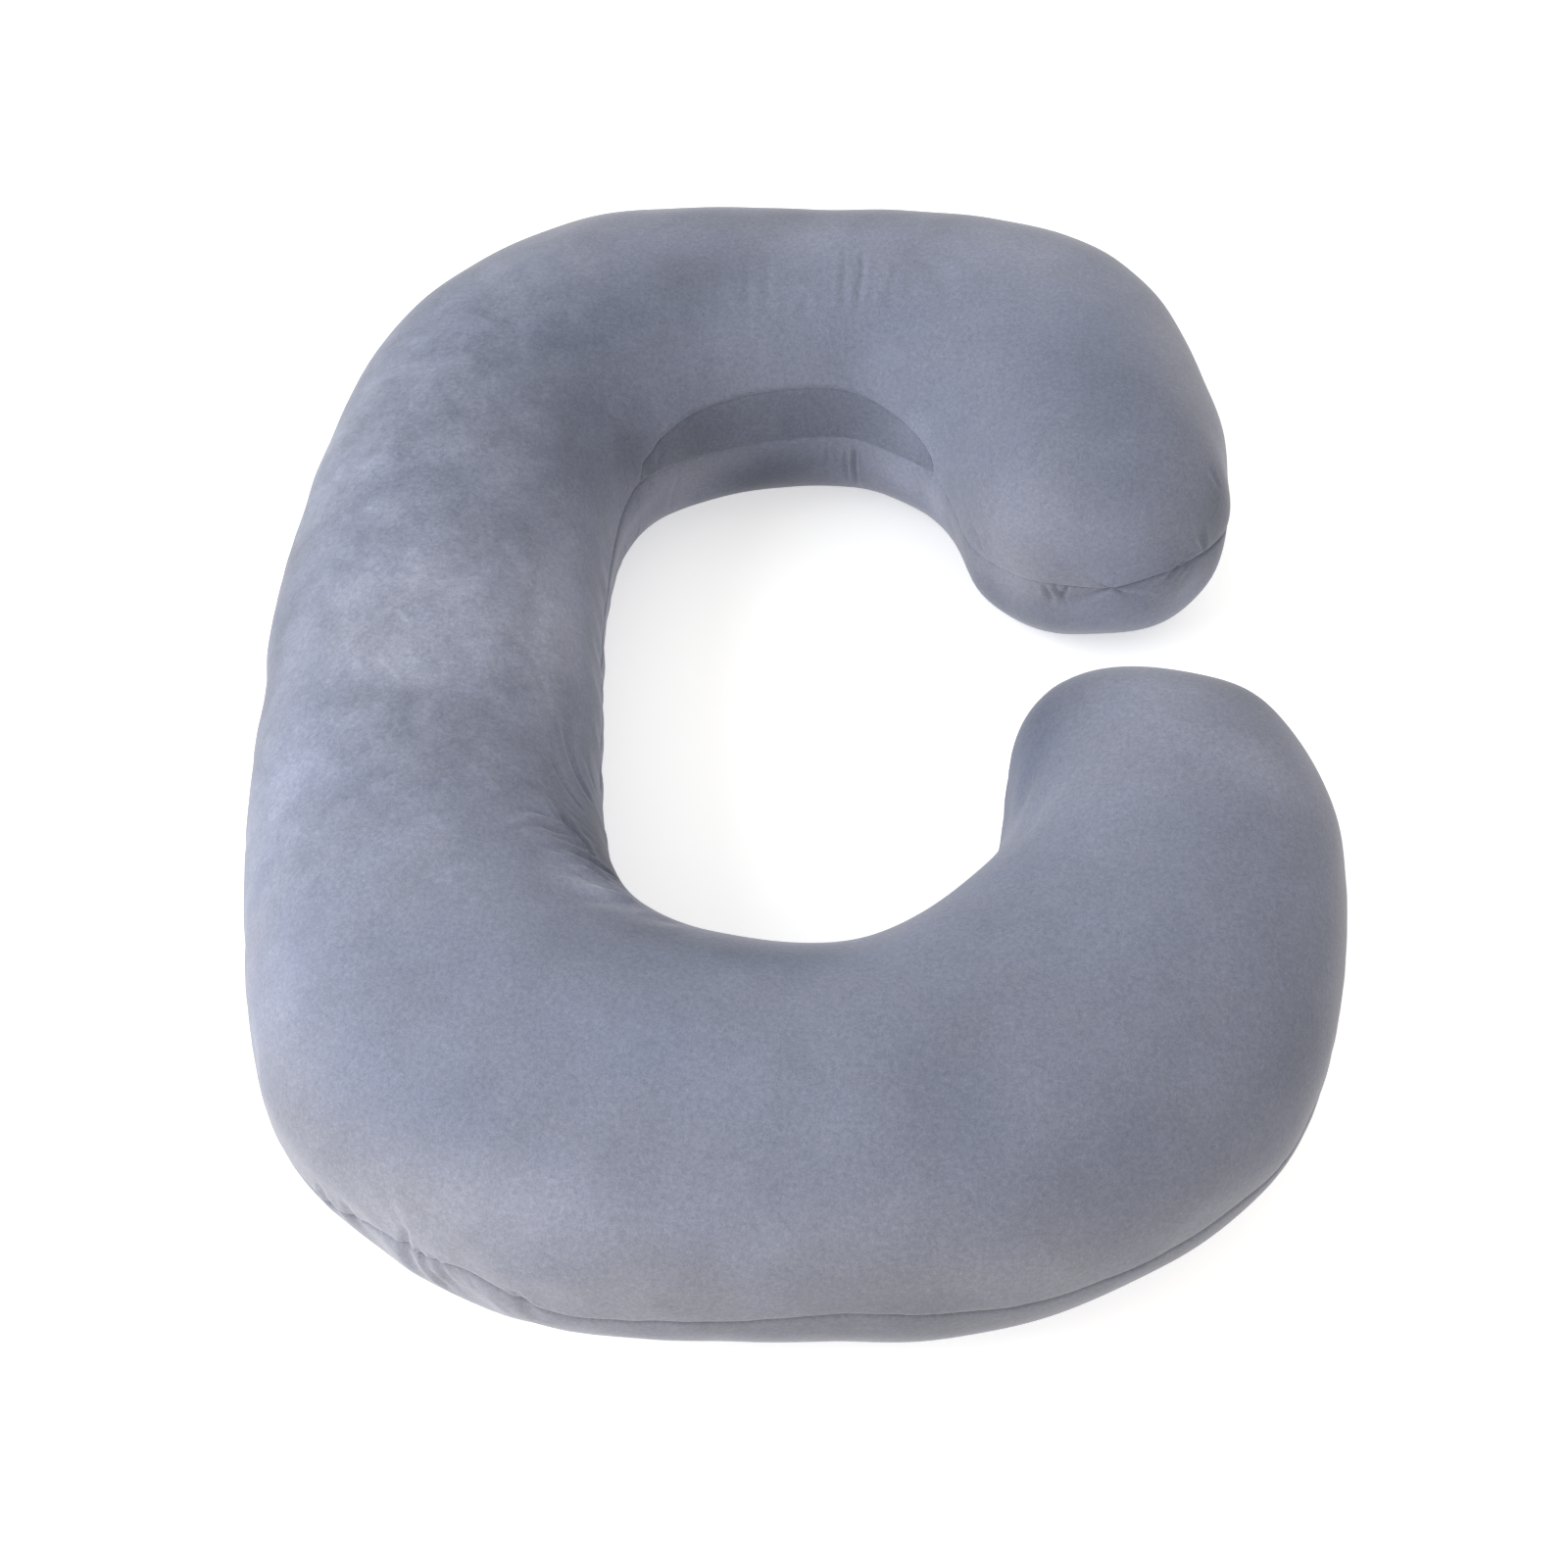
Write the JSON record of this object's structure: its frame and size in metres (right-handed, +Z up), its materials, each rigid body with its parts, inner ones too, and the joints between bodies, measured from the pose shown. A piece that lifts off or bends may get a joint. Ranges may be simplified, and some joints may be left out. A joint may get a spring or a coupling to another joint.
{
  "type": "body pillow",
  "caption": "C-shaped stuffed body pillow in short-pile plush that wraps round a side sleeper from head to legs.",
  "frame": {"origin": "middle of the outline, on the surface that the pillow lies on", "axes": "+Z up, +Y towards the head bar along the pillow's length, +X towards the open side of the C"},
  "size_m": [0.7944, 1.043, 0.2154],
  "materials": {
    "plush_cover": "dusty blue-grey short-pile plush",
    "gusset_cloth": "the same plush with its nap laid the other way, darker"
  },
  "bodies": {
    "root": {"pillow_body": "plush_cover", "crescent_gusset": "gusset_cloth"}
  },
  "joints": []
}
